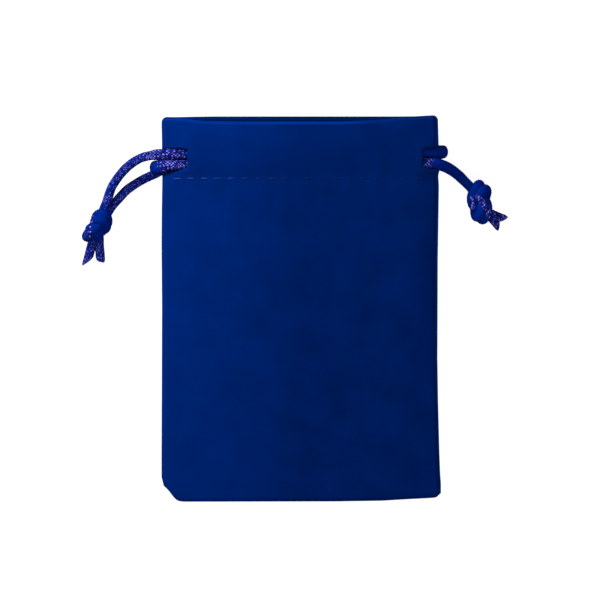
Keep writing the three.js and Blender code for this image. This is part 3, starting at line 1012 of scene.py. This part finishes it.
def velvet_material():
    """Short-piled velvet, its tone mottled, with painted light: lighter towards its left edge and
    over the rim's fold, and painted shade where it is turned in.
    """
    material, tree, shader = new_material("velvet")
    uv = cloth_uv(tree)
    mottle = times(tree, noise(tree, uv, 0.16, 3.0, 0.55), MOTTLE_SHARE)
    nap = noise(tree, uv, 5.5, 3.0, 0.7)
    across = parts(tree, uv)["X"]
    # painted light: lighter towards the cloth's left edge
    lean = map_range(tree, across, *PAINTED_LEFT_LIGHT_SPAN, PAINTED_LEFT_LIGHT, 0.0, "SMOOTHSTEP")
    shade = plus(tree, plus(tree, mottle, times(tree, nap, NAP_SHARE)), lean)
    # painted highlight over the rim's fold
    crest_highlight = times(tree, value_of(tree, "crest_highlight"), CREST_PAINTED_HIGHLIGHT)
    colour = ramp(tree, plus(tree, shade, crest_highlight), VELVET_TONES)
    # painted shade where the velvet is turned in inside the mouth
    colour = mixed(tree, "RGBA", value_of(tree, "turned_in_shade"), colour, VELVET_PAINTED_SHADE)
    clumps = noise(tree, uv, 1.1, 2.0)
    put(tree, shader, {
        "Base Color": colour, "Roughness": 0.95, "Specular IOR Level": 0.0,
        "Sheen Weight": 0.25, "Sheen Roughness": 0.35, "Sheen Tint": VELVET_SHEEN,
        "Normal": bump(tree, [(nap, 0.5, 0.00006), (clumps, 0.35, 0.0001)]),
    })
    return material


def filaments(tree, a, b, cell_a, cell_b):
    """Fine lines along the strand that lies on top, from the braid's two coordinates."""
    odd = math_node(tree, "FLOORED_MODULO", plus(tree, cell_a, cell_b), 2.0)
    turn = 2 * math.pi * FILAMENTS
    lines_a, lines_b = (math_node(tree, "SINE", times(tree, v, turn)) for v in (a, b))
    return mixed(tree, "FLOAT", odd, lines_a, lines_b)


def painted_sparks(tree, uv, cell_a, cell_b, relief_painted_shade, painted_glint):
    """Painted highlights: single cells of the braid painted as sparks, on their crowns, and only
    some of them.
    """
    cell = node(tree, "ShaderNodeCombineXYZ", X=cell_a, Y=cell_b).outputs["Vector"]
    chance = node(tree, "ShaderNodeTexWhiteNoise", noise_dimensions="2D", Vector=cell)
    crown = map_range(tree, relief_painted_shade, 0.5, 0.9)
    lucky = map_range(tree, chance.outputs["Value"], 0.35, 0.85)
    broken = map_range(tree, noise(tree, uv, 2.3, 2.0), 0.38, 0.52)
    return times(tree, times(tree, times(tree, crown, lucky), painted_glint), broken)


def cord_material():
    """Satin braid with no specular: matte where it is turned or pressed, elsewhere a darker violet
    with painted highlights as sparks, and painted shade in its crevices and on its underside.
    """
    material, tree, shader = new_material("satin_cord")
    uv = cloth_uv(tree)
    a, b = parts(tree, uv)["X"], parts(tree, uv)["Y"]
    cell_a, cell_b = math_node(tree, "FLOOR", a), math_node(tree, "FLOOR", b)
    # painted shade in the crevices and on the underside, painted highlights as sparks
    relief_painted_shade, painted_glint = value_of(tree, "relief_painted_shade"), value_of(tree, "painted_glint")
    matte, violet = ramp(tree, relief_painted_shade, MATTE_TONES), ramp(tree, relief_painted_shade, VIOLET_TONES)
    body = mixed(tree, "RGBA", painted_glint, matte, violet)
    painted_spark = painted_sparks(tree, uv, cell_a, cell_b, relief_painted_shade, painted_glint)
    lines = filaments(tree, a, b, cell_a, cell_b)
    put(tree, shader, {
        "Base Color": mixed(tree, "RGBA", painted_spark, body, PAINTED_SPARK), "Roughness": 0.6,
        "Specular IOR Level": 0.0, "Normal": bump(tree, [(lines, 0.4, 0.00003)]),
    })
    return material


def thread_material(name, light, painted_shade_right):
    """Polyester thread. Where asked, painted shade makes it darker to the right, away from the
    light.
    """
    material, tree, shader = new_material(name)
    place = node(tree, "ShaderNodeTexCoord").outputs["Object"]
    grain = noise(tree, place, 2500.0, 2.0)
    if painted_shade_right:
        # painted shade: darker towards the right
        painted_shade_gradient = map_range(tree, parts(tree, place)["X"], -0.024, 0.016, 0.2, -0.75)
        grain = plus(tree, grain, painted_shade_gradient)
    put(tree, shader, {
        "Base Color": ramp(tree, grain, [(0.2, THREAD_DARK), (0.75, light)]),
        "Roughness": 0.5, "Specular IOR Level": 0.05,
        "Normal": bump(tree, [(grain, 0.4, 0.00003)]),
    })
    return material


def floor_material():
    """White, by its own glow, so that little light from it reaches the pouch's edges."""
    material, tree, shader = new_material("white_floor")
    place = node(tree, "ShaderNodeTexCoord").outputs["Object"]
    put(tree, shader, {
        "Base Color": ramp(tree, noise(tree, place, 3.0), FLOOR_TONES), "Roughness": 1.0,
        "Emission Color": (1, 1, 1, 1), "Emission Strength": FLOOR_GLOW,
    })
    return material


VELVET = velvet_material()
SATIN = cord_material()
HEM_THREAD = thread_material("hem_thread", HEM_THREAD_LIGHT, True)
SEAM_THREAD = thread_material("seam_thread", SEAM_THREAD_LIGHT, False)


def dress(obj, material):
    """Gives the piece its only material."""
    obj.data.materials.append(material)
    return obj


# ---- baking placements ----
def gather(obj):
    """Bakes the piece's placement into its mesh and works out a weight for each point, growing
    outwards and up towards the casing; the weight is not used.
    """
    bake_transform(obj)
    co = np.zeros(len(obj.data.vertices) * 3)
    obj.data.vertices.foreach_get("co", co)
    co = co.reshape(-1, 3) / MM
    weight = np.clip(np.abs(co[:, 0]) / HALF_WIDTH, 0, 1)
    weight *= smooth(CASING_NONE, CASING_FULL, co[:, 1])


# ---- building the pouch ----
HEM_ROWS = {"left": (-23.4, -0.4), "right": (0.4, 23.2)}  # from x to x
SIDE_SEAM_ROW = (-29.5, 32.5)  # from y to y
BOTTOM_SEAM_ROW = (-20, 22)  # from x to x


def build_panels():
    for name, side in (("front", 1), ("back", -1)):
        for half, made in zip(("left", "right"), panel_halves(side)):
            obj = make_mesh(f"{name}_panel_{half}", *made)
            dress(obj, VELVET)
            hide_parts(f"{name}_panel")
            gather(obj)


def stitch_row(name, paths, thread, stands_for):
    obj = thread_mesh(name, paths)
    dress(obj, thread)
    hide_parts(stands_for)
    return obj


def build_hem_stitches():
    rng = np.random.default_rng(5)
    for name, side in (("front", 1), ("back", -1)):
        for half, (start, end) in HEM_ROWS.items():
            paths = lockstitches(on_panel(side, STITCH_ROW), start, end, rng)
            obj = stitch_row(f"{name}_hem_stitches_{half}", paths, HEM_THREAD,
                             f"{name}_hem_stitching")
            gather(obj)


def build_seam_stitches():
    rng = np.random.default_rng(8)
    for half, sign in (("left", -1), ("right", 1)):
        paths = lockstitches(along_side(sign), *SIDE_SEAM_ROW, rng)
        obj = stitch_row(f"{half}_seam_stitches", paths, SEAM_THREAD,
                         f"{half}_seam_stitching")
        gather(obj)
    paths = lockstitches(along_bottom, *BOTTOM_SEAM_ROW, rng)
    obj = stitch_row("bottom_seam_stitches", paths, SEAM_THREAD,
                     "bottom_seam_stitching")
    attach(obj, "pouch")


def build_cords():
    for side, spec in CORDS.items():
        obj, path, length = cord_mesh(f"{side}_cord_tied", spec)
        dress(obj, SATIN)
        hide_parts(f"{side}_drawcord", f"{side}_knot", f"{side}_cord_end_outer",
                    f"{side}_cord_end_inner")
        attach(obj, f"{side}_cord")


# ---- floor, camera and lights ----
FLOOR_HALF = 4.0  # metres
CAMERA_PLACE = (0.0, 1.6, 605.0 + MIDDLE_Z)
LENS = 200
SENSOR = 36
WORLD_STRENGTH = 0.15
LIGHT_SIZE = 150


def build_floor():
    size = FLOOR_HALF
    corners = [(-size, -size, 0), (size, -size, 0), (size, size, 0), (-size, size, 0)]
    mesh = bpy.data.meshes.new("floor")
    mesh.from_pydata(corners, [], [(0, 1, 2, 3)])
    mesh.materials.append(floor_material())
    placed("floor", mesh)


def build_camera():
    """Straight above, looking down, with the mouth at the top of the picture."""
    data = bpy.data.cameras.new("camera")
    data.lens = LENS
    data.sensor_width = SENSOR
    data.clip_start = 0.05
    data.clip_end = 10
    camera = placed("camera", data)
    camera.location = [v * MM for v in CAMERA_PLACE]
    bpy.context.scene.camera = camera


def area_light(name, place, aim, watts):
    """A round soft light at a place, turned towards its aim, both in millimetres."""
    data = bpy.data.lights.new(name, "AREA")
    data.shape = "DISK"
    data.size = LIGHT_SIZE * MM
    data.energy = watts
    light = placed(name, data)
    light.location = [v * MM for v in place]
    light.rotation_mode = "QUATERNION"
    light.rotation_quaternion = (Vector(aim) - Vector(place)).to_track_quat("-Z", "Y")


def build_lights():
    world = bpy.data.worlds.new("studio")
    bpy.context.scene.world = world
    world.use_nodes = True
    tree = world.node_tree
    settings = {"Color": (1, 1, 1, 1), "Strength": WORLD_STRENGTH}
    put(tree, tree.nodes["Background"], settings)
    area_light("key", (-230, 230, 220), (0, 0, 5), 2.4)
    area_light("top", (60, -140, 420), (0, 0, 5), 1.2)
    bpy.context.scene.view_settings.view_transform = "Standard"


build_panels()
build_hem_stitches()
build_seam_stitches()
build_cords()
build_floor()
build_camera()
build_lights()
